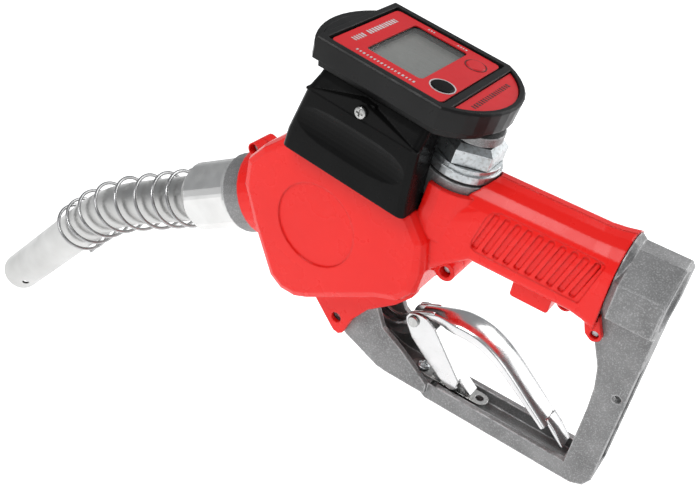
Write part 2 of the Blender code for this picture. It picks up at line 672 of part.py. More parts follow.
def lever_section(half, depth, crown):
    """Rounded channel, open downwards, as offsets (y, z) from its crown line."""
    outer = [(half * math.cos(a), crown * math.sin(a) - crown)
             for a in [math.pi * i / 8 for i in range(9)]]
    wall = 1.4
    inner = [((half - wall) * math.cos(a), (crown - wall * 0.6) * math.sin(a) - crown - wall * 0.4)
             for a in [math.pi * i / 8 for i in range(9)]]
    return [(half, -depth)] + outer + [(-half, -depth), (-half + wall, -depth)] \
        + inner[::-1] + [(half - wall, -depth)]


def lever():
    """Pressed steel operating lever: palm channel, front arm with two cheeks, thumb tongue."""
    path = [Vector(p) for p in LEVER_TOP]
    rings = []
    for i, point in enumerate(path):
        tangent = (path[min(i + 1, len(path) - 1)] - path[max(i - 1, 0)]).normalized()
        normal = Vector((-tangent.y, tangent.x))
        share = i / (len(path) - 1)
        half = 4.5 + 3.0 * min(1.0, max(0.0, i - 1) / 2)
        depth = 4.2 + 2.2 * min(1.0, i / 2) - 2.8 * max(0.0, share - 0.45) / 0.55
        rings.append([(point.x + normal.x * v, u, point.y + normal.y * v)
                      for u, v in lever_section(half, depth, 2.6)])
    palm = skin(rings)
    tongue = prism([(-27.5, -83.2), (-24, -86.6), (-18.1, -92.3), (-16.9, -91.0), (-22.6, -84.6),
                    (-27.5, -80.9)], -4.4, 4.4)
    union(palm, tongue)
    for side in (-1, 1):
        low, high = sorted((side * 2.8, side * 4.2))
        union(palm, prism(ARM, low, high))
    union(palm,
          prism([(-131, -74.8), (-121, -78), (-121.4, -76.6), (-130.6, -73.5)], -3.6, 3.6),
          prism([(-112, -79.6), (-105, -78.6), (-105.2, -77.2), (-112, -78.2)], -3.6, 3.6))
    cut(palm,
        cylinder(1.9, -10, 10, across(*LEVER_PIVOT), 16),
        cylinder(1.9, -10, 10, across(*CLIP_PIVOT), 16))
    pivot = (LEVER_PIVOT[0], 0, LEVER_PIVOT[1])
    finish(palm, "lever", "chrome", None, pivot, 30)
    finish(cylinder(1.6, -8.4, 8.4, across(*LEVER_PIVOT), 16), "lever_pin", "satin_steel")
    pin = turned([(0, -7.4), (2.6, -7.4), (2.9, -6.9), (2.9, -6.3), (1.6, -6.3), (1.6, 6.3), (2.9, 6.3),
                  (2.9, 6.9), (2.6, 7.4), (0, 7.4)], across(*CLIP_PIVOT), 16)
    finish(pin, "clip_pin", "satin_steel", None, (CLIP_PIVOT[0], 0, CLIP_PIVOT[1]))


def hold_open_clip():
    """Pressed clip that holds the lever up: two legs on the pin and a web that catches the rack."""
    leg = [(-104.2, -66.6), (-103.2, -69.6), (-99, -76), (-88, -85), (-78, -91.6), (-74.6, -93.2),
           (-72.2, -92.0), (-69.6, -88.6), (-89.4, -65.2), (-94.0, -62.4), (-97, -62.0), (-100, -62.4),
           (-103, -63.8)]
    clip = prism(leg, -6.0, -4.8)
    union(clip, prism(leg, 4.8, 6.0))
    web = [(-89.9, -66.6), (-88.7, -65.6), (-69.7, -88.1), (-64.4, -92.2), (-65.4, -93.4), (-71.2, -88.9)]
    union(clip, prism(web, -5.6, 5.6))
    cut(clip, prism([(-71.5, -90), (-71.5, -85), (-60, -90), (-60, -97)], 3.4, 8),
        prism([(-71.5, -90), (-71.5, -85), (-60, -90), (-60, -97)], -8, -3.4),
        cylinder(1.9, -10, 10, across(*CLIP_PIVOT), 16))
    finish(clip, "hold_open_clip", "chrome", None, (CLIP_PIVOT[0], 0, CLIP_PIVOT[1]))


def rack():
    """Notched plate screwed into the guard channel, and its screw."""
    outline = rounded([(-98, -4.2), (-56.6, -4.2), (-56.6, 4.2), (-98, 4.2)], 3.9, 4)
    plate = prism(outline, -95.1, -93.9, "XY")
    for x in (-86, -81, -76):
        union(plate, prism([(x, -94.5), (x + 3.4, -94.5), (x + 1.0, -92.6)], -3.0, 3.0))
    cut(plate, cylinder(1.7, -100, -90, upright(-92), 16),
        cylinder(2.0, -100, -90, upright(-60.8), 16))
    finish(plate, "rack_plate", "satin_steel")
    screw = turned([(0, -97.6), (1.4, -97.6), (1.4, -93.6), (3.4, -93.6), (3.2, -92.5), (0, -92.1)],
                   upright(-92), 16)
    finish(screw, "rack_screw", "zinc")


# ---------------------------------------------------------------- valve and automatic shut-off

def valve():
    """Main poppet on its stem, spring, packing and the gland nut under it."""
    stem = turned([(0, -73.3), (1.6, -73.3), (2.4, -72.6), (2.4, -24.2), (0, -24.2)], upright(VALVE_X), 16)
    finish(stem, "valve_stem", "satin_steel", None, (VALVE_X, 0, -73.3))
    poppet = turned([(2.7, -28.6), (9.2, -28.6), (9.2, -25.6), (4.2, -24.4), (4.2, -21.6), (0, -21.6),
                     (0, -23.9), (2.7, -23.9)], upright(VALVE_X), 24)
    finish(poppet, "main_poppet", "brass", None, (VALVE_X, 0, -28.6))
    finish(ring(9.0, 4.4, -29.7, -28.9, upright(VALVE_X), 24), "poppet_seal", "rubber", None,
           (VALVE_X, 0, -29.7))
    steps, turns = 12, 2.5
    coil = [(VALVE_X + 6.4 * math.cos(math.tau * i / steps), 6.4 * math.sin(math.tau * i / steps),
             -23.9 + 11.6 * i / (steps * turns)) for i in range(int(steps * turns) + 1)]
    finish(wire_along(coil, 0.6, 5), "main_spring", "satin_steel", smooth=80)
    finish(ring(3.9, 2.7, -52.0, -47.4, upright(VALVE_X), 20), "stem_packing", "rubber")
    gland = turned([(2.7, -59.6), (5.0, -59.6), (5.0, -57.4), (3.9, -57.4), (3.9, -52.4), (2.7, -52.4)],
                   upright(VALVE_X), 24)
    finish(gland, "gland_nut", "brass")


def shut_off():
    """Latch plunger, its balls and pin, and the diaphragm that lifts the pin."""
    plunger = turned([(2.2, -58), (4.0, -58), (4.0, -24), (2.2, -24)], upright(LATCH_X), 20)
    tail = prism(rounded([(-151.3, -69.2), (-144.7, -69.2), (-144.7, -57), (-151.3, -57)], 2, 2),
                 -2.4, 2.4)
    union(plunger, tail)
    cut(plunger, cylinder(1.9, -10, 10, across(*LEVER_PIVOT), 16))
    finish(plunger, "latch_plunger", "satin_steel")
    pin = turned([(0, -50), (1.5, -50), (1.5, -12.3), (6.0, -12.3), (6.0, -11.3), (0, -11.3)],
                 upright(LATCH_X), 16)
    finish(pin, "latch_pin", "brass", None, (LATCH_X, 0, -50))
    finish(ring(9.6, 1.8, -14.1, -13.3, upright(LATCH_X), 24), "diaphragm", "rubber")
    steps = 12
    coil = [(LATCH_X + 3.6 * math.cos(math.tau * i / steps), 3.6 * math.sin(math.tau * i / steps),
             -10.4 + 0.125 * i) for i in range(31)]
    finish(wire_along(coil, 0.4, 5), "diaphragm_spring", "satin_steel", smooth=80)
    cap = turned([(0, -5.0), (8.0, -5.0), (8.0, -9.6), (9.6, -9.6), (9.6, -5.7), (11.2, -5.7),
                  (11.2, -3.4), (0, -3.4)], upright(LATCH_X), 32)
    finish(cap, "diaphragm_cap", "cast_aluminium")


# ---------------------------------------------------------------- flow meter

def hexagon(across_flats, phase):
    return circle(0, 0, across_flats / math.sqrt(3), 6, math.radians(phase))


def union_fittings():
    """Swivel union between the nozzle's riser and the meter's inlet barrel."""
    axis = Matrix.Translation((UNION_X, 0, 0))
    flange = turned([(7.2, -42), (8.9, -42), (8.9, -32.6), (UNION_RADIUS, -32.6), (UNION_RADIUS, -29.4),
                     (UNION_RADIUS - 0.4, -29), (15.2, -29), (15.2, -27), (7.2, -27)], axis, 36)
    finish(flange, "union_flange", "zinc", "meter_frame")
    finish(ring(15.8, 9.3, -33.6, -32.9, axis, 30), "union_gasket", "rubber", "meter_frame")
    nut = stack([(-26.7, [(x + UNION_X, y) for x, y in hexagon(26.5, -89)]),
                 (-20.3, [(x + UNION_X, y) for x, y in hexagon(26.5, -89)]),
                 (-17.9, [(x + UNION_X, y) for x, y in hexagon(21.5, -89)])])
    cut(nut, cylinder(10.0, -30, -10, axis, 32))
    finish(nut, "union_nut", "zinc", "meter_frame")


def meter_chamber():
    """Gear chamber with its two shafts, its head with the inlet passage, gasket and outlet fitting."""
    outline = rectangle(-25.8, 15.6, -25.5, 25.5, 3)
    block = prism(outline, -49.5, -26.5, "XY")
    cut(block, *[cylinder(12.9, -45, -20, Matrix.Translation((GEARS_X, side * GEAR_SPACING / 2, 0)), 30)
                 for side in (-1, 1)])
    cut(block, cylinder(3.6, -55, -44, Matrix.Translation((3.5, 0, 0)), 20))
    for side in (-1, 1):
        union(block, cylinder(1.9, -46, -26.8, Matrix.Translation((GEARS_X, side * GEAR_SPACING / 2, 0)),
                              16))
    finish(block, "meter_chamber", "cast_aluminium", "meter_frame")

    gasket = prism(outline, -26.2, -25.4, "XY")
    cut(gasket, prism(rectangle(-19.5, 7.5, -23.2, 23.2, 12, 6), -30, -20, "XY"))
    finish(gasket, "chamber_gasket", "rubber", "meter_frame")

    head = prism(outline, -25.1, -21.5, "XY")
    union(head, prism([(-20, -22), (18.6, -22), (18.6, -17.6), (UNION_X, -17.6), (UNION_X, -13.3),
                       (-20, -13.3)], -8.5, 8.5))
    cut(head, cylinder(10.5, -26.6, -17.6, Matrix.Translation((UNION_X, 0, 0)), 32))
    union(head, turned([(0, -26.4), (9.6, -26.4), (9.6, -17.5), (11.8, -17.2), (11.8, -13.3), (0, -13.3)],
                       Matrix.Translation((UNION_X, 0, 0)), 30))
    cut(head, cylinder(7.0, -30, -14.7, Matrix.Translation((UNION_X, 0, 0)), 24),
        prism(rectangle(-14.5, UNION_X, -6.6, 6.6), -16.9, -14.9, "XY"),
        cylinder(3.6, -30, -15.2, Matrix.Translation((-13.5, 0, 0)), 20))
    finish(head, "meter_head", "cast_aluminium", "meter_frame")

    axis = Matrix.Translation((OUTLET_X, 0, 0))
    finish(turned([(5.6, -62.4), (7.9, -62.4), (7.9, -60.8), (9.3, -60.8), (9.3, -49.8), (5.6, -49.8)],
                  axis, 32), "outlet_fitting", "brass", "meter_frame")
    finish(o_ring(8.85, 0.65, -61.6, axis), "outlet_seal", "rubber", "meter_frame")


def gear_outline(phase):
    """Oval pitch curve, r = R + A cos 2t, with shallow teeth and running clearance."""
    outline = []
    for i in range(GEAR_TEETH * 4):
        t = math.tau * i / (GEAR_TEETH * 4)
        tooth = 0.35 if i % 4 < 2 else -0.35
        radius = GEAR_SPACING / 2 - 0.75 + GEAR_SWING * math.cos(2 * (t - phase)) + tooth
        outline.append((radius * math.cos(t), radius * math.sin(t)))
    return outline


def gears():
    """Two oval gears a quarter turn apart on the chamber's shafts."""
    for name, side, phase in (("oval_gear_a", -1, 0.0), ("oval_gear_b", 1, math.pi / 2)):
        centre = (GEARS_X, side * GEAR_SPACING / 2, 0)
        gear = prism(gear_outline(phase), -44.5, -28.0, "XY")
        cut(gear, cylinder(2.3, -50, -20, None, 16))
        gear.data.transform(Matrix.Translation(centre))
        finish(gear, name, "acetal", "meter_frame", (*centre[:2], -36.0))


SHROUD_LEVELS = [(-52.5, -33.4, 30.3, 31.0), (-44.0, -33.0, 28.9, 31.0), (-22.0, -29.0, 26.5, 30.6),
                 (-16.0, -27.4, 26.2, 26.6), (-13.3, -27.0, 26.0, 25.0)]


def shroud_solid(inset):
    levels = []
    for height, x0, x1, half in SHROUD_LEVELS:
        levels.append((height, rectangle(x0 + inset, x1 - inset, -half + inset, half - inset,
                                         max(0.6, 3.0 - inset), 3)))
    levels[0] = (levels[0][0] - inset, levels[0][1])
    levels[-1] = (levels[-1][0] + inset, levels[-1][1])
    return stack(levels)


def side_scoop(side):
    """Boat-shaped tool for the shallow hollow in the shroud's side."""
    half, radius, depth = 28.5, 20.0, 1.8
    profile = [(0, -half)] + [(radius - 1.9 * (x / half) ** 4, x) for x in (
        -half, -27, -24, -19, -12, 0, 12, 19, 24, 27, half)] + [(0, half)]
    place = Matrix.Translation((-2.4, side * (31.0 - depth + radius), -34.4))
    return turned(profile, place @ ALONG_X, 54)


def shroud():
    """Black cover round the gear chamber, held by one screw on each side."""
    shell = shroud_solid(0)
    screw_x, screw_z = -1.6, -18.3
    for side in (-1, 1):
        low, high = sorted((side * 24, side * 30.4))
        union(shell, prism([(-28.8, -22.4), (26.3, -22.4), (26.3, -21.4), (screw_x - 1.5, -14.2),
                            (-5.5, -14.6), (-28.8, -21.4)], low, high))
    bay = Matrix.Translation((UNION_X, 0, 0))
    cut(shell, cut(shroud_solid(2.6), cylinder(19.2, -60, -22.3, bay, 30)))
    for side in (-1, 1):
        cut(shell, side_scoop(side))
        post = cylinder(4.0, 0, 3.6, Matrix.Translation((screw_x, side * 30.2, screw_z))
                        @ Matrix.Rotation(math.radians(90 * side), 4, "X"), 20)
        union(shell, post)
        union(shell, prism(rectangle(screw_x - 4, screw_x + 4, -19.8, -14.6), *sorted(
            (side * 25.5, side * 28.5))))
    cut(shell, cylinder(17.4, -60, -17.5, bay, 30),
        prism(rectangle(14, 40, -9.2, 9.2), -22.3, -10, "XY"),
        cylinder(9.7, -60, -49, Matrix.Translation((OUTLET_X, 0, 0)), 32),
        cylinder(1.7, -40, 40, Matrix.Translation((screw_x, 0, screw_z))
                 @ Matrix.Rotation(math.radians(90), 4, "X"), 12))
    keep_largest(shell)
    finish(shell, "meter_shroud", "black_plastic", "meter_frame", smooth=30)
    for name, side in (("shroud_screw_left", -1), ("shroud_screw_right", 1)):
        turn = (Matrix.Translation((screw_x, 0, screw_z))
                @ Matrix.Rotation(math.radians(90 * side), 4, "X"))
        screw = turned([(0, -25), (1.3, -25), (1.3, -30.7), (2.9, -30.7), (2.9, -31.5), (2.0, -32.1),
                        (0, -32.1)], turn, 16)
        finish(screw, name, "satin_steel", "meter_frame")


def moon(centre, radius, chord, steps=14):
    """Circle segment cut off by a chord: the end of the housing beyond it."""
    reach = math.degrees(math.acos((chord - centre) / radius))
    if chord > centre:
        return arc(centre, 0, radius, -reach, reach, steps)
    return arc(centre, 0, radius, reach, 360 - reach, steps)


def housing_outline(inset):
    """Plan of the display housing: straight sides, a deep round end and a shallow one."""
    outline = []
    for centre, radius, middle in ((REAR_ARC[0], REAR_ARC[1] - inset, 0),
                                   (FRONT_ARC[0], FRONT_ARC[1] - inset, 180)):
        reach = math.degrees(math.asin((HOUSING_HALF - inset) / radius))
        outline += arc(centre, 0, radius, middle - reach, middle + reach, 14)
    return outline


def display():
    """Display housing with its plate, labels, screen, electronics and buttons."""
    tub = stack([(-13.0, housing_outline(4.0)), (-9.4, housing_outline(3.4)), (-9.0, housing_outline(0.6)),
                 (0.2, housing_outline(0.0)), (1.0, housing_outline(0.8))])
    frame = rectangle(-27.6, 27.9, -26.7, 26.7, 1.5, 2)
    cut(tub, prism(rectangle(-25.5, 26.5, -24.5, 24.5, 2, 2), -11.2, 5, "XY"),
        prism(frame, -3.4, 5, "XY"),
        prism(moon(REAR_ARC[0], 30.8, 31.2), -0.7, 5, "XY"),
        prism(rectangle(-60, -30.4, -40, 30), -3.6, 5, "XY"),
        prism(moon(FRONT_ARC[0], 43.6, -31.4), -6.0, 5, "XY"),
        prism(rectangle(-20, 21, -10, 10, 3, 2), -20, -10, "XY"))
    finish(tub, "display_housing", "dark_plastic", "meter_frame")
    finish(prism(moon(FRONT_ARC[0], 43.3, -31.7), -5.7, -3.2, "XY"), "battery_cap", "dark_plastic",
           "meter_frame")

    plate = prism(rectangle(-27.2, 27.4, -26.3, 26.3, 1.5, 2), -3.1, -0.7, "XY")
    label = prism(rectangle(-FASCIA_LENGTH / 2, FASCIA_LENGTH / 2, -FASCIA_WIDTH / 2, FASCIA_WIDTH / 2,
                            2.2, 3), -0.4, 0.2, "XY")
    screen = (LCD_X - LCD_LENGTH / 2, LCD_X + LCD_LENGTH / 2, LCD_Y - LCD_WIDTH / 2, LCD_Y + LCD_WIDTH / 2)
    for sheet in (plate, label):
        cut(sheet, prism(rectangle(*screen, 2.0, 3), -6, 3, "XY"),
            cylinder(RESET_RADIUS + GAP, -8, 3, Matrix.Translation((*RESET_AT, 0)), 28),
            cylinder(CALIBRATE_RADIUS + GAP, -8, 3, Matrix.Translation((*CALIBRATE_AT, 0)), 28))
    finish(plate, "fascia_plate", "dark_plastic", "meter_frame")
    finish(label, "fascia_label", "fascia_red", "meter_frame")
    x0, x1, y0, y1 = screen
    finish(prism(rectangle(x0 + GAP, x1 - GAP, y0 + GAP, y1 - GAP, 1.8, 3), -1.7, -0.9, "XY"),
           "screen_window", "clear_window", "meter_frame")
    finish(prism(rectangle(x0 - 1, x1 + 1, y0 - 1.6, y1 + 1.6, 1, 2), -5.6, -3.4, "XY"),
           "lcd_panel", "lcd_grey", "meter_frame")
    finish(prism(rectangle(-24.5, 25.5, -23.5, 23.5, 1, 2), -7.6, -6.2, "XY"),
           "circuit_board", "circuit_green", "meter_frame")
    finish(cylinder(12.2, -10.9, -7.9, Matrix.Translation((-8, 0, 0)), 32),
           "coin_cell", "satin_steel", "meter_frame")
    finish(prism(moon(REAR_ARC[0], 30.5, 31.5), -0.4, 0.0, "XY"), "rear_label", "fascia_red",
           "meter_frame")
    for name, at, radius, colour in (("reset_button", RESET_AT, RESET_RADIUS, "black_plastic"),
                                     ("calibration_button", CALIBRATE_AT, CALIBRATE_RADIUS, "fascia_red")):
        button = turned([(0, -4.9), (radius + 0.8, -4.9), (radius + 0.8, -3.5), (radius, -3.5),
                         (radius, 0.2), (radius - 0.5, 0.7), (0, 0.8)],
                        Matrix.Translation((*at, 0)), 28)
        finish(button, name, colour, "meter_frame", (*at, 0))


# ---------------------------------------------------------------- assembly

def main():
    for item in list(bpy.data.objects):
        bpy.data.objects.remove(item, do_unlink=True)
    add_frame("meter_frame", METER)
    add_frame("spout_frame", SPOUT)
    body_casting()
    covers()
    cover_screws()
    spout()
    lever()
    hold_open_clip()
    rack()
    valve()
    shut_off()
    union_fittings()
    meter_chamber()
    gears()
    shroud()
    display()


main()
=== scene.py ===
"""Looks of the fuel nozzle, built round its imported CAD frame. Metres, in the frame's own axes."""
import json
import math
import random

import bmesh
import bpy
from mathutils import Matrix, Vector


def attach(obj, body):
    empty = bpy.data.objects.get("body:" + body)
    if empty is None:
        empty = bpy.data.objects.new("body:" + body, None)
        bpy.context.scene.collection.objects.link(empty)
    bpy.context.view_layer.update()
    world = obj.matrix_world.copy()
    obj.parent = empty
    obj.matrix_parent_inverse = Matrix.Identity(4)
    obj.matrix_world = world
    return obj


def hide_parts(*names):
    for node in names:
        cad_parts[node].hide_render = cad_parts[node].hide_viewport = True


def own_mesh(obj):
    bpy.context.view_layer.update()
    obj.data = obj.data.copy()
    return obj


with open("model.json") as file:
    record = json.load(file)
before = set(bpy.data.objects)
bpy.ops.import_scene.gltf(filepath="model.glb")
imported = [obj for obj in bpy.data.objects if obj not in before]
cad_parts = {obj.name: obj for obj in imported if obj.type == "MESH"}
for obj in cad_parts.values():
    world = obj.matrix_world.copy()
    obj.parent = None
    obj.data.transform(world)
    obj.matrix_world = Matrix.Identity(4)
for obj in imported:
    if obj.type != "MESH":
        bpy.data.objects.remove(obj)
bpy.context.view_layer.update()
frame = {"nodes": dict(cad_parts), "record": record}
nodes = frame["nodes"]

MM = 0.001

# The nozzle's sizes are in millimetres and its angles in degrees.
METER_ORIGIN, METER_TILT = (-129.8, 0.0, 54.2), 6.93
SPOUT_ORIGIN, SPOUT_PITCH, SPOUT_BEND = (-204.0, 0.0, -49.2), 30.2, 18.6
SPOUT_RADIUS, SPOUT_BORE, SPOUT_BEND_RADIUS = 12.0, 10.6, 150.0
SPOUT_STRAIGHT, SPOUT_TIP, SPOUT_IN_NUT = 88.0, 100.0, 11.0
SPOUT_END = SPOUT_STRAIGHT + SPOUT_BEND_RADIUS * math.radians(SPOUT_BEND) + SPOUT_TIP
PORT_BACK, PORT_TURN, PORT_RADIUS = 12.0, 45.0, 2.2
SPRING_START, SPRING_STOP, SPRING_TURNS = 38.5, 155.0, 8.5
COIL_RADIUS, WIRE_RADIUS = 14.9, 0.95
RESET_AT, CALIBRATE_AT = (20.4, -14.0), (19.8, 15.1)
SHROUD_SCREW, SHROUD_SCREW_OUT = (-1.6, 0.0, -18.3), 32.3
RACK_SCREW = (-92.0, 0.0, -92.1)
THREAD_ROOT, THREAD_CREST, THREAD_PITCH, THREAD_START, THREAD_TURNS = 12.0, 11.2, 1.81, -16.2, 8

# The camera and the lamps are placed in metres. A lamp is (name, place, width, power in watts).
CAMERA_PLACE = (0.02631, -0.31912, 0.20175)
CAMERA_AZIMUTH, CAMERA_ELEVATION, CAMERA_ROLL, CAMERA_LENS = 28.041, 34.762, 10.998, 47.69
LIGHTS = (("key", (-0.5, -0.7, 1.1), 0.6, 9.0),
          ("fill", (0.7, -0.9, 0.5), 0.7, 2.5),
          ("back", (0.75, 0.95, 0.28), 0.9, 4.5),
          ("rim", (0.2, 0.9, 0.8), 0.7, 6.0))

METER = (Matrix.Translation(Vector(METER_ORIGIN))
         @ Matrix.Rotation(math.radians(METER_TILT), 4, "Y"))
SPOUT = (Matrix.Translation(Vector(SPOUT_ORIGIN))
         @ Matrix.Rotation(math.radians(-90 - SPOUT_PITCH), 4, "Y"))


# ---------------------------------------------------------------- materials

class Graph:
    """Short-hand for building a node tree."""

    def __init__(self, name):
        self.material = bpy.data.materials.new(name)
        self.material.use_nodes = True
        self.tree = self.material.node_tree
        self.shader = self.tree.nodes["Principled BSDF"]
        self.where = self.add("ShaderNodeTexCoord").outputs["Object"]

    def add(self, kind, **settings):
        node = self.tree.nodes.new(kind)
        for key, value in settings.items():
            setattr(node, key, value)
        return node

    def put(self, socket, value):
        if isinstance(value, bpy.types.NodeSocket):
            self.tree.links.new(value, socket)
        else:
            socket.default_value = value

    def stretched(self, scale, turn=(0, 0, 0)):
        mapping = self.add("ShaderNodeMapping")
        mapping.inputs["Rotation"].default_value = [math.radians(a) for a in turn]
        mapping.inputs["Scale"].default_value = scale
        self.put(mapping.inputs["Vector"], self.where)
        return mapping.outputs["Vector"]

    def noise(self, scale, detail=3.0, vector=None):
        node = self.add("ShaderNodeTexNoise")
        node.inputs["Scale"].default_value = scale
        node.inputs["Detail"].default_value = detail
        self.put(node.inputs["Vector"], vector or self.where)
        return node.outputs["Fac"]

    def remap(self, value, low, high, to_low=0.0, to_high=1.0):
        node = self.add("ShaderNodeMapRange")
        self.put(node.inputs["Value"], value)
        for key, number in (("From Min", low), ("From Max", high),
                            ("To Min", to_low), ("To Max", to_high)):
            node.inputs[key].default_value = number
        return node.outputs["Result"]

    def mix(self, factor, a, b):
        node = self.add("ShaderNodeMix", data_type="RGBA")
        self.put(node.inputs["Factor"], factor)
        self.put(node.inputs["A"], (*a, 1) if isinstance(a, tuple) else a)
        self.put(node.inputs["B"], (*b, 1) if isinstance(b, tuple) else b)
        return node.outputs["Result"]

    def math(self, operation, a, b):
        node = self.add("ShaderNodeMath", operation=operation)
        self.put(node.inputs[0], a)
        self.put(node.inputs[1], b)
        return node.outputs[0]

    def rounded(self, radius):
        node = self.add("ShaderNodeBevel", samples=4)
        node.inputs["Radius"].default_value = radius
        return node.outputs["Normal"]

    def edges(self, radius, low, high):
        """1 on sharp edges and 0 on faces, from how far a rounded normal leans from the true one."""
        lean = self.add("ShaderNodeVectorMath", operation="DOT_PRODUCT")
        self.put(lean.inputs[0], self.rounded(radius))
        self.put(lean.inputs[1], self.add("ShaderNodeNewGeometry").outputs["Normal"])
        return self.remap(lean.outputs["Value"], high, low)


def surface(name, tone, other, roughness, metallic=0.0, blotch=30.0, grain=900.0, depth=0.02,
            round_edges=0.5, speck=None, wear_and_glint=None, streaks=None, rough_spread=0.08, sheen_level=0.5):
    """Material with blotchy colour, uneven roughness, fine bump and rounded edges.

    speck is (scale, low, high, colour), wear_and_glint is (radius in mm, colour, amount) for sharp edges
    lightened in patches, partly as wear and partly as a painted highlight, and streaks is (stretch, turn,
    strength)."""
    graph = Graph(name)
    shader = graph.shader
    colour = graph.mix(graph.remap(graph.noise(blotch, 4.0), 0.3, 0.7), tone, other)
    rough = graph.remap(graph.noise(blotch * 3, 4.0), 0.3, 0.7, roughness - rough_spread,
                        roughness + rough_spread)
    height = graph.noise(grain, 3.0)
    if speck:
        scale, low, high, spot = speck
        colour = graph.mix(graph.remap(graph.noise(scale, 6.0), low, high), colour, spot)
    if streaks:
        stretch, turn, strength = streaks
        lines = graph.noise(1.0, 2.0, graph.stretched(stretch, turn))
        colour = graph.mix(graph.remap(lines, 0.35, 0.65, 0, strength), colour,
                           tuple(c * 0.55 for c in tone))
        rough = graph.math("ADD", rough, graph.remap(lines, 0.3, 0.7, -0.06, 0.1))
        height = graph.math("ADD", height, lines)
    # Sharp edges lightened in patches: partly edge wear, partly a painted highlight.
    if wear_and_glint:
        radius, bright, amount = wear_and_glint
        worn_and_glint = graph.math("MULTIPLY", graph.edges(radius * MM, 0.90, 0.995),
                          graph.remap(graph.noise(260, 3.0), 0.32, 0.55, 0, amount))
        colour = graph.mix(worn_and_glint, colour, bright)
    bump = graph.add("ShaderNodeBump")
    bump.inputs["Strength"].default_value = 0.5
    bump.inputs["Distance"].default_value = depth * MM
    graph.put(bump.inputs["Height"], height)
    graph.put(bump.inputs["Normal"], graph.rounded(round_edges * MM))
    graph.put(shader.inputs["Base Color"], colour)
    graph.put(shader.inputs["Roughness"], rough)
    graph.put(shader.inputs["Normal"], bump.outputs["Normal"])
    shader.inputs["Metallic"].default_value = metallic
    shader.inputs["Specular IOR Level"].default_value = sheen_level
    return graph.material


def window_glass():
    """Thin clear sheet over the screen."""
    graph = Graph("clear_window")
    shader = graph.shader
    graph.put(shader.inputs["Roughness"], graph.remap(graph.noise(150), 0.3, 0.7, 0.04, 0.12))
    graph.put(shader.inputs["Base Color"],
              graph.mix(graph.noise(60), (0.45, 0.46, 0.45), (0.6, 0.61, 0.6)))
    shader.inputs["Alpha"].default_value = 0.1
    return graph.material


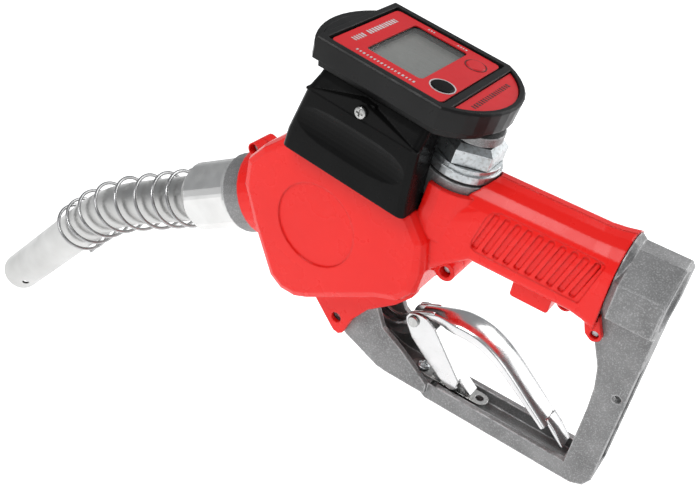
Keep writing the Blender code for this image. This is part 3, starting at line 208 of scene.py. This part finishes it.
def make_materials():
    """Every material by its slot name."""
    return {
        "cast_aluminium": surface("cast_aluminium", (0.16, 0.16, 0.16), (0.25, 0.25, 0.25), 0.5, 0.6,
                                  blotch=55, grain=1500, depth=0.12, round_edges=1.0,
                                  speck=(1600, 0.5, 0.8, (0.4, 0.4, 0.4)),
                                  # Light patchy edges on the casting: partly wear, partly a painted
                                  # highlight.
                                  wear_and_glint=(1.1, (0.74, 0.74, 0.74), 0.8)),
        "red_plastic": surface("red_plastic", (0.84, 0.012, 0.008), (0.78, 0.009, 0.006), 0.28,
                               blotch=22, grain=500, depth=0.006, round_edges=1.2,
                               speck=(2600, 0.66, 0.75, (0.88, 0.05, 0.035)), rough_spread=0.05,
                               sheen_level=0.3),
        "satin_steel": surface("satin_steel", (0.44, 0.44, 0.43), (0.54, 0.54, 0.53), 0.3, 1.0,
                               blotch=35, grain=1600, depth=0.01, round_edges=0.4,
                               streaks=((2500, 2500, 60), (0, -45, 0), 0.3)),
        "spout_steel": surface("spout_steel", (0.46, 0.46, 0.45), (0.56, 0.56, 0.55), 0.34, 1.0,
                               blotch=35, grain=1600, depth=0.008, round_edges=0.4, rough_spread=0.05),
        "nut_steel": surface("nut_steel", (0.6, 0.6, 0.59), (0.72, 0.72, 0.71), 0.36, 0.9,
                             blotch=60, grain=1300, depth=0.015, round_edges=0.5),
        "spring_wire": surface("spring_wire", (0.36, 0.36, 0.36), (0.46, 0.46, 0.46), 0.3, 1.0,
                               blotch=90, grain=1500, depth=0.006, round_edges=0.2),
        "chrome": surface("chrome", (0.62, 0.62, 0.62), (0.72, 0.72, 0.72), 0.22, 1.0, blotch=60,
                          grain=900, depth=0.01, round_edges=0.6, speck=(900, 0.68, 0.8, (0.4, 0.4, 0.39)),
                          rough_spread=0.07),
        "zinc": surface("zinc", (0.38, 0.41, 0.42), (0.55, 0.57, 0.58), 0.34, 0.9, blotch=120, grain=1200,
                        depth=0.02, round_edges=0.4, speck=(700, 0.5, 0.75, (0.26, 0.26, 0.25)),
                        # Light patchy edges on the zinc: partly wear, partly a painted highlight.
                        wear_and_glint=(0.5, (0.8, 0.81, 0.82), 0.7)),
        "black_plastic": surface("black_plastic", (0.004, 0.004, 0.004), (0.007, 0.007, 0.007), 0.27,
                                 blotch=40, grain=1400, depth=0.008, round_edges=0.9,
                                 speck=(3000, 0.68, 0.78, (0.02, 0.02, 0.021)), sheen_level=0.07),
        "dark_plastic": surface("dark_plastic", (0.008, 0.008, 0.008), (0.012, 0.012, 0.012), 0.34,
                                blotch=60, grain=1500, depth=0.015, round_edges=0.8, sheen_level=0.16),
        "fascia_red": surface("fascia_red", (0.62, 0.012, 0.018), (0.56, 0.01, 0.015), 0.42, blotch=50,
                              grain=2200, depth=0.006, round_edges=0.2, sheen_level=0.35),
        "lcd_grey": surface("lcd_grey", (0.15, 0.155, 0.145), (0.19, 0.195, 0.18), 0.35, blotch=60,
                            grain=3000, depth=0.004, round_edges=0.2,
                            streaks=((60, 900, 60), (0, 0, 0), 0.12)),
        "clear_window": window_glass(),
        "rubber": surface("rubber", (0.012, 0.012, 0.012), (0.02, 0.02, 0.02), 0.75, grain=1800, depth=0.03),
        "brass": surface("brass", (0.66, 0.46, 0.17), (0.74, 0.55, 0.24), 0.28, 1.0, blotch=70, grain=1300,
                         streaks=((1600, 1600, 80), (0, 0, 0), 0.2)),
        "circuit_green": surface("circuit_green", (0.02, 0.16, 0.06), (0.03, 0.2, 0.08), 0.4, grain=1100,
                                 speck=(500, 0.6, 0.66, (0.4, 0.35, 0.15))),
        "acetal": surface("acetal", (0.7, 0.7, 0.65), (0.76, 0.76, 0.71), 0.42, grain=1500),
        "print_white": surface("print_white", (0.62, 0.56, 0.56), (0.5, 0.44, 0.44), 0.5, grain=2500),
        "print_dark": surface("print_dark", (0.12, 0.01, 0.01), (0.07, 0.01, 0.01), 0.5, grain=2500),
    }


MATERIALS = make_materials()


def paint(item, slot):
    """Give an object one of the materials."""
    item.data.materials.clear()
    item.data.materials.append(MATERIALS[slot])


def paint_cad_nodes():
    """Every carried-over CAD node gets the procedural material of its slot in the record."""
    for row in frame["record"]["subparts"]:
        if row["node"] in nodes:
            item = nodes[row["node"]]
            item.data.shade_smooth()
            item.data.set_sharp_from_angle(angle=math.radians(38))
            paint(item, row["material_slot"])
    paint(nodes["spout_nut"], "nut_steel")


# ---------------------------------------------------------------- mesh pieces

def piece(bm, name, slot, body, matrix=None, replaces=(), smooth=40):
    """Finished object from a bmesh in millimetres, riding on a CAD body."""
    bm.transform(Matrix.Scale(MM, 4) @ (matrix or Matrix.Identity(4)))
    bmesh.ops.recalc_face_normals(bm, faces=bm.faces[:])
    mesh = bpy.data.meshes.new(name)
    bm.to_mesh(mesh)
    bm.free()
    mesh.shade_smooth()
    mesh.set_sharp_from_angle(angle=math.radians(smooth))
    item = bpy.data.objects.new(name, mesh)
    bpy.context.scene.collection.objects.link(item)
    paint(item, slot)
    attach(item, body)
    if replaces:
        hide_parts(*replaces)
    return item


def ring_row(bm, point, side, up, radius, sides):
    """Ring of vertices round a point, in the plane of two directions."""
    return [bm.verts.new(point + radius * (side * math.cos(math.tau * k / sides)
                                           + up * math.sin(math.tau * k / sides)))
            for k in range(sides)]


def bridge(bm, rows, closed=False):
    """Faces between each row of vertices and the next, and from the last to the first if closed."""
    pairs = list(zip(rows, rows[1:])) + ([(rows[-1], rows[0])] if closed else [])
    for low, high in pairs:
        count = len(low)
        for k in range(count):
            bm.faces.new((low[k], low[(k + 1) % count], high[(k + 1) % count], high[k]))


def cap(bm, rows):
    """Faces over the first and the last row."""
    bm.faces.new(rows[0])
    bm.faces.new(rows[-1])


# ---------------------------------------------------------------- spout

def spout_point(s, side=0.0):
    """Point of the spout axis at a distance down it, in the spout frame."""
    bend = math.radians(SPOUT_BEND)
    turn = min(max((s - SPOUT_STRAIGHT) / SPOUT_BEND_RADIUS, 0), bend)
    rest = max(s - SPOUT_STRAIGHT - SPOUT_BEND_RADIUS * bend, 0)
    x = -SPOUT_BEND_RADIUS * (1 - math.cos(turn)) - rest * math.sin(turn)
    z = min(s, SPOUT_STRAIGHT) + SPOUT_BEND_RADIUS * math.sin(turn) + rest * math.cos(turn)
    return Vector((x + side * math.cos(turn), 0, z + side * math.sin(turn)))


def spout_tube():
    """Tube with a rolled lip at the open end, outside and inside in one skin."""
    bm = bmesh.new()
    step, lip = 3.0, 1.5
    outer_count = int((SPOUT_END + SPOUT_IN_NUT - lip) / step)
    inner_count = int(SPOUT_END / (2 * step))
    stations = [(-SPOUT_IN_NUT + step * i, SPOUT_RADIUS) for i in range(outer_count)]
    stations += [(SPOUT_END - 1.2, SPOUT_RADIUS), (SPOUT_END - 0.5, SPOUT_RADIUS - 0.12),
                 (SPOUT_END - 0.1, SPOUT_RADIUS - 0.45), (SPOUT_END, SPOUT_RADIUS - 0.8),
                 (SPOUT_END - 0.3, SPOUT_BORE + 0.1), (SPOUT_END - 1.0, SPOUT_BORE)]
    stations += [(SPOUT_END - 2 * step * (i + 1), SPOUT_BORE) for i in range(inner_count)]
    stations += [(-SPOUT_IN_NUT, SPOUT_BORE)]
    side = Vector((0, 1, 0))
    rows = []
    for s, radius in stations:
        here = spout_point(s)
        rows.append(ring_row(bm, here, side, spout_point(s, 1.0) - here, radius, 64))
    bridge(bm, rows, closed=True)
    tube = piece(bm, "spout_tube_fine", "spout_steel", "nozzle", SPOUT, replaces=("spout_tube",),
                 smooth=60)
    cut_port(tube)


def cut_port(tube):
    """Round sensing port through the tube's wall near the open end."""
    place = (SPOUT @ Matrix.Translation(spout_point(SPOUT_END - PORT_BACK))
             @ Matrix.Rotation(math.radians(-SPOUT_BEND), 4, "Y")
             @ Matrix.Rotation(math.radians(PORT_TURN), 4, "Z")
             @ Matrix.Rotation(math.radians(-90), 4, "Y"))
    bm = bmesh.new()
    bmesh.ops.create_cone(bm, cap_ends=True, segments=32, radius1=PORT_RADIUS, radius2=PORT_RADIUS,
                          depth=14, matrix=Matrix.Translation((0, 0, 13)))
    bm.transform(Matrix.Scale(MM, 4) @ place)
    mesh = bpy.data.meshes.new("port")
    bm.to_mesh(mesh)
    bm.free()
    tool = bpy.data.objects.new("port", mesh)
    bpy.context.scene.collection.objects.link(tool)
    step = tube.modifiers.new("port", "BOOLEAN")
    step.operation = "DIFFERENCE"
    step.solver = "EXACT"
    step.object = tool
    bpy.context.view_layer.update()
    graph = bpy.context.evaluated_depsgraph_get()
    result = bpy.data.meshes.new_from_object(tube.evaluated_get(graph))
    tube.modifiers.clear()
    tube.data = result
    bpy.data.objects.remove(tool)
    tube.data.set_sharp_from_angle(angle=math.radians(40))


def spout_spring():
    """Round wire coil with its turns crowded closer towards the ends."""
    bm = bmesh.new()
    steps, crowding = 48, 0.045
    centres = []
    for i in range(int(SPRING_TURNS * steps) + 1):
        share = i / (SPRING_TURNS * steps)
        eased = share - crowding * math.sin(math.tau * share)
        place = SPRING_START + (SPRING_STOP - SPRING_START) * eased
        here = spout_point(place)
        up = spout_point(place, 1.0) - here
        angle = math.tau * i / steps
        out = up * math.cos(angle) + Vector((0, 1, 0)) * math.sin(angle)
        centres.append((here + COIL_RADIUS * out, out))
    rows = []
    for i, (point, out) in enumerate(centres):
        ahead = centres[min(i + 1, len(centres) - 1)][0] - centres[max(i - 1, 0)][0]
        across = ahead.normalized().cross(out).normalized()
        rows.append(ring_row(bm, point, out, across, WIRE_RADIUS, 12))
    bridge(bm, rows)
    cap(bm, rows)
    piece(bm, "spout_spring_fine", "spring_wire", "nozzle", SPOUT, replaces=("spout_spring",),
          smooth=80)


# ---------------------------------------------------------------- print on the labels

def bars(rows, name, slot, top=0.3, bottom=0.15):
    """Thin printed bars on a label, each (x0, x1, y0, y1), in one piece."""
    bm = bmesh.new()
    for x0, x1, y0, y1 in rows:
        low = [bm.verts.new((x, y, bottom)) for x, y in ((x0, y0), (x1, y0), (x1, y1), (x0, y1))]
        high = [bm.verts.new((v.co.x, v.co.y, top)) for v in low]
        bridge(bm, (low, high))
        cap(bm, (low, high))
    piece(bm, name, slot, "nozzle", METER)


def flat_ring(name, x, y, inner, outer, slot):
    """Thin printed ring on a label."""
    bm = bmesh.new()
    bottom, top = 0.18, 0.34
    across, along = Vector((1, 0, 0)), Vector((0, 1, 0))
    rows = []
    for radius, height in ((inner, bottom), (outer, bottom), (outer, top), (inner, top)):
        rows.append(ring_row(bm, Vector((x, y, height)), across, along, radius, 48))
    bridge(bm, rows, closed=True)
    piece(bm, name, slot, "nozzle", METER)


def tick_row(start, stop, least, most, gap, seed):
    """Uneven marks with even gaps along a row, as (from, to)."""
    rng = random.Random(seed)
    marks = []
    while start < stop:
        length = rng.uniform(least, most)
        marks.append((start, start + length))
        start += length + gap
    return marks


def fascia_print():
    """Generic ticks where the real labels have rows of print, and the rings round the buttons."""
    front, near, far, rear = (-22.8, -20.0), (-22.9, -21.5), (22.8, 23.8), (34.8, 37.0)
    ticks = [(*front, a, b) for a, b in tick_row(-16.5, -8.0, 0.7, 1.3, 0.75, 3)]
    ticks += [(*front, a, b) for a, b in tick_row(-5.5, 16.5, 0.7, 1.3, 0.75, 5)]
    ticks += [(a, b, *near) for a, b in tick_row(-16.0, 13.0, 0.6, 1.1, 0.95, 7)]
    ticks += [(a, b, *far) for a, b in tick_row(-9.0, -5.5, 0.6, 1.0, 0.6, 9)]
    ticks += [(a, b, *far) for a, b in tick_row(6.0, 10.0, 0.6, 1.0, 0.6, 9)]
    bars(ticks, "fascia_ticks", "print_white")
    rear_ticks = [(*rear, a, b) for a, b in tick_row(-16.0, 15.0, 0.6, 1.2, 0.95, 11)]
    bars(rear_ticks, "rear_ticks", "print_dark", top=0.12, bottom=-0.05)
    flat_ring("reset_ring", *RESET_AT, 5.0, 5.6, "print_white")
    flat_ring("calibration_ring", *CALIBRATE_AT, 4.5, 4.9, "print_dark")


# ---------------------------------------------------------------- lever and small metal parts

# Side outlines of the lever as (x, z): the crown of its palm, and one cheek of its front arm.
LEVER_TOP = [(-98.5, -60.5), (-92, -57.6), (-85, -55.6), (-78, -54.6), (-71, -54.6), (-64, -56),
             (-56, -59.6), (-48, -65), (-40, -71.3), (-32, -77.7), (-26, -82.6)]
ARM = [(-152.4, -66), (-151.2, -69.4), (-147, -70.6), (-134, -74.6), (-122, -78.2), (-115, -79.8),
       (-107.5, -79.6), (-101.5, -76.4), (-96.4, -69), (-92, -62.5), (-92, -58.4), (-98.5, -61.2),
       (-103.6, -64.6), (-105.4, -70.6), (-109, -73.4), (-114, -74.6), (-120, -73.2), (-132, -68.4),
       (-145, -62.6), (-149.4, -62.2)]


def smooth_through(points, steps, closed=False):
    """Points of a Catmull-Rom curve through given ones."""
    path = [Vector(p) for p in points]
    count = len(path)
    curve = []
    for i in range(count if closed else count - 1):
        if closed:
            a, b, c, d = (path[(i + k) % count] for k in (-1, 0, 1, 2))
        else:
            a, b, c, d = path[max(i - 1, 0)], path[i], path[i + 1], path[min(i + 2, count - 1)]
        for step in range(steps):
            t = step / steps
            curve.append(0.5 * (2 * b + (c - a) * t + (2 * a - 5 * b + 4 * c - d) * t ** 2
                                + (3 * b - a - 3 * c + d) * t ** 3))
    return curve if closed else curve + [path[-1]]


def channel(half, depth, crown, wall, steps):
    """Closed section of a rounded channel that opens downwards, as offsets (y, z) from its crown."""
    turns = [math.pi * i / steps for i in range(steps + 1)]
    outer = [(half * math.cos(a), crown * math.sin(a) - crown) for a in turns]
    inner = [((half - wall) * math.cos(a), (crown - wall * 0.6) * math.sin(a) - crown - wall * 0.4)
             for a in turns]
    return ([(half - 0.3, -depth), (half, -depth + 0.3)] + outer
            + [(-half, -depth + 0.3), (-half + 0.3, -depth), (-half + wall, -depth)]
            + inner[::-1] + [(half - wall, -depth)])


def lever_palm():
    """Pressed palm of the lever with smooth bends and softened lips."""
    bm = bmesh.new()
    half_start, half_gain = 4.5, 3.0
    depth_start, depth_gain, depth_loss = 4.2, 2.2, 2.8
    crown, wall = 2.6, 1.3
    path = smooth_through(LEVER_TOP, 6)
    rows = []
    for i, point in enumerate(path):
        tangent = (path[min(i + 1, len(path) - 1)] - path[max(i - 1, 0)]).normalized()
        share = i / (len(path) - 1)
        swell = min(1.0, max(0.0, share - 0.08) / 0.22)
        half = half_start + half_gain * swell * swell * (3 - 2 * swell)
        depth = (depth_start + depth_gain * min(1.0, share / 0.2)
                 - depth_loss * max(0.0, share - 0.45) / 0.55)
        rows.append([bm.verts.new((point.x - tangent.y * v, u, point.y + tangent.x * v))
                     for u, v in channel(half, depth, crown, wall, 16)])
    bridge(bm, rows)
    cap(bm, rows)
    piece(bm, "lever_palm", "chrome", "lever", replaces=("lever",), smooth=50)


def plate(outline, low, high, name, slot, body, lip=0.25):
    """Flat pressed plate across the nozzle, with its outline's edges softened."""
    bm = bmesh.new()
    count = len(outline)
    rows = []
    for depth, inset in ((low, lip), (low + lip, 0), (high - lip, 0), (high, lip)):
        row = []
        for i, here in enumerate(outline):
            along = (outline[(i + 1) % count] - outline[i - 1]).normalized()
            inward = Vector((-along.y, along.x)) * inset
            row.append(bm.verts.new((here.x + inward.x, depth, here.y + inward.y)))
        rows.append(row)
    bridge(bm, rows)
    cap(bm, rows)
    piece(bm, name, slot, body, smooth=50)


def lever_arms():
    """The two cheeks of the lever's front arm, the web between them and the thumb tongue."""
    outline = smooth_through(ARM, 3, closed=True)
    for side, name in ((-1, "left"), (1, "right")):
        low, high = sorted((side * 2.8, side * 4.2))
        plate(outline, low, high, f"lever_cheek_{name}", "chrome", "lever")
    web = [Vector(p) for p in ((-131, -74.8), (-121, -78), (-121.4, -76.6), (-130.6, -73.5))]
    plate(web, -2.7, 2.7, "lever_web", "chrome", "lever", 0.1)
    tongue = [Vector(p) for p in ((-27.5, -83.2), (-24, -86.6), (-18.1, -92.3), (-16.9, -91.0),
                                  (-22.6, -84.6), (-27.5, -80.9))]
    plate(tongue, -4.4, 4.4, "lever_tongue", "chrome", "lever", 0.2)


def cross_head(name, radius, matrix, slot, body, replaces=()):
    """Domed screw head with a cross recess, its top at local Z = 0 and facing +Z."""
    bm = bmesh.new()
    sides, arm, width = 64, radius * 0.62, radius * 0.17

    def outline(height, size):
        row = []
        for k in range(sides):
            angle = math.tau * (k + 0.5) / sides
            c, s = abs(math.cos(angle)), abs(math.sin(angle))
            reach = max(min(arm / c, width / s), min(width / c, arm / s)) * size
            row.append(bm.verts.new((reach * math.cos(angle), reach * math.sin(angle), height)))
        return row

    def circle(height, size):
        return [bm.verts.new((size * math.cos(math.tau * (k + 0.5) / sides),
                              size * math.sin(math.tau * (k + 0.5) / sides), height))
                for k in range(sides)]

    rows = [circle(-1.2, radius), circle(-0.6, radius), circle(-0.25, radius * 0.93),
            circle(-0.05, radius * 0.78), outline(0.0, 1.0), outline(-0.9, 0.8)]
    bridge(bm, rows)
    cap(bm, rows)
    piece(bm, name, slot, body, matrix, replaces, smooth=35)


def screw_heads():
    """Cross-head screws that hold the meter's shroud, and the one in the rack plate."""
    for side, name in ((-1, "left"), (1, "right")):
        place = (METER @ Matrix.Translation(Vector(SHROUD_SCREW))
                 @ Matrix.Rotation(math.radians(-90 * side), 4, "X")
                 @ Matrix.Translation(Vector((0, 0, SHROUD_SCREW_OUT))))
        cross_head(f"shroud_cross_{name}", 2.6, place, "satin_steel", "nozzle",
                   (f"shroud_screw_{name}",))
    cross_head("rack_cross", 3.3, Matrix.Translation(Vector(RACK_SCREW)), "zinc", "nozzle",
               ("rack_screw",))


def inlet_thread():
    """Rings of thread in the inlet bore."""
    bm = bmesh.new()
    side, up = Vector((0, 1, 0)), Vector((0, 0, 1))
    wall, inner_end, outer_end = 12.3, -16.5, -1.7
    profile = [(wall, inner_end)]
    for k in range(THREAD_TURNS):
        x = THREAD_START + THREAD_PITCH * k
        profile += [(THREAD_ROOT, x), (THREAD_CREST, x + 0.75), (THREAD_CREST, x + 1.0),
                    (THREAD_ROOT, x + 1.7)]
    profile += [(wall, outer_end)]
    rows = [ring_row(bm, Vector((x, 0, 0)), side, up, radius, 64) for radius, x in profile]
    bridge(bm, rows, closed=True)
    piece(bm, "inlet_thread", "cast_aluminium", "nozzle", smooth=20)


def stand_in(name, suffix):
    """Copy of a CAD node that takes its place, so that its looks can differ."""
    item = nodes[name].copy()
    item.data = nodes[name].data.copy()
    item.name = f"{name}_{suffix}"
    bpy.context.scene.collection.objects.link(item)
    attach(item, "nozzle")
    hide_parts(name)
    return item


def soft_covers():
    """The red covers again with normals that turn softly over their moulded edges."""
    for name in ("left_cover", "right_cover"):
        item = stand_in(name, "soft")
        item.data.set_sharp_from_angle(angle=math.radians(52))
        weigh = item.modifiers.new("weigh", "WEIGHTED_NORMAL")
        weigh.keep_sharp = True
        weigh.weight = 80


def pressed_springs():
    """Stand-in copies of the inner springs, each with a mesh of its own."""
    for name, joint, top, keep in (("main_spring", "valve_lift", -11.7, 0.6),
                                   ("diaphragm_spring", "latch_pin_lift", -6.2, 0.72)):
        item = stand_in(name, "pressed")
        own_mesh(item)


# ---------------------------------------------------------------- stage

def stage():
    """Pale floor, soft sky and four area lamps."""
    floor_mesh = bpy.data.meshes.new("floor")
    size, level = 6.0, -0.30
    floor_mesh.from_pydata([(-size, -size, level), (size, -size, level), (size, size, level),
                            (-size, size, level)], [], [(0, 1, 2, 3)])
    floor = bpy.data.objects.new("floor", floor_mesh)
    graph = Graph("pale_floor")
    graph.put(graph.shader.inputs["Base Color"],
              graph.mix(graph.noise(2.0), (0.93, 0.93, 0.93), (0.95, 0.95, 0.95)))
    graph.shader.inputs["Roughness"].default_value = 0.9
    graph.shader.inputs["Emission Color"].default_value = (1, 1, 1, 1)
    graph.shader.inputs["Emission Strength"].default_value = 0.6
    floor.data.materials.append(graph.material)
    bpy.context.scene.collection.objects.link(floor)

    world = bpy.data.worlds.new("studio")
    world.use_nodes = True
    world.node_tree.nodes["Background"].inputs["Color"].default_value = (0.95, 0.97, 1.0, 1)
    world.node_tree.nodes["Background"].inputs["Strength"].default_value = 0.35
    bpy.context.scene.world = world

    target = Vector((-0.17, 0, -0.05))
    for name, place, width, power in LIGHTS:
        light = bpy.data.lights.new(name, "AREA")
        light.size = width
        light.energy = power
        lamp = bpy.data.objects.new(name, light)
        lamp.location = place
        lamp.rotation_euler = (target - Vector(place)).to_track_quat("-Z", "Y").to_euler()
        bpy.context.scene.collection.objects.link(lamp)


def camera():
    """Camera above the left side, looking down at the nozzle with a slight roll."""
    azimuth, elevation, roll = (math.radians(a) for a in (CAMERA_AZIMUTH, CAMERA_ELEVATION, CAMERA_ROLL))
    back = Vector((math.sin(azimuth) * math.cos(elevation), -math.cos(azimuth) * math.cos(elevation),
                   math.sin(elevation)))
    right = Vector((math.cos(azimuth), math.sin(azimuth), 0))
    up = back.cross(right)
    turned_right = right * math.cos(roll) + up * math.sin(roll)
    turned_up = up * math.cos(roll) - right * math.sin(roll)
    data = bpy.data.cameras.new("camera")
    data.sensor_width = 36
    data.lens = CAMERA_LENS
    data.clip_start = 0.01
    eye = bpy.data.objects.new("camera", data)
    facing = Matrix((turned_right, turned_up, back)).transposed().to_4x4()
    eye.matrix_world = Matrix.Translation(Vector(CAMERA_PLACE)) @ facing
    bpy.context.scene.collection.objects.link(eye)
    bpy.context.scene.camera = eye


paint_cad_nodes()
spout_tube()
spout_spring()
lever_palm()
lever_arms()
screw_heads()
inlet_thread()
soft_covers()
pressed_springs()
fascia_print()
stage()
camera()
bpy.context.scene.view_settings.view_transform = "Standard"
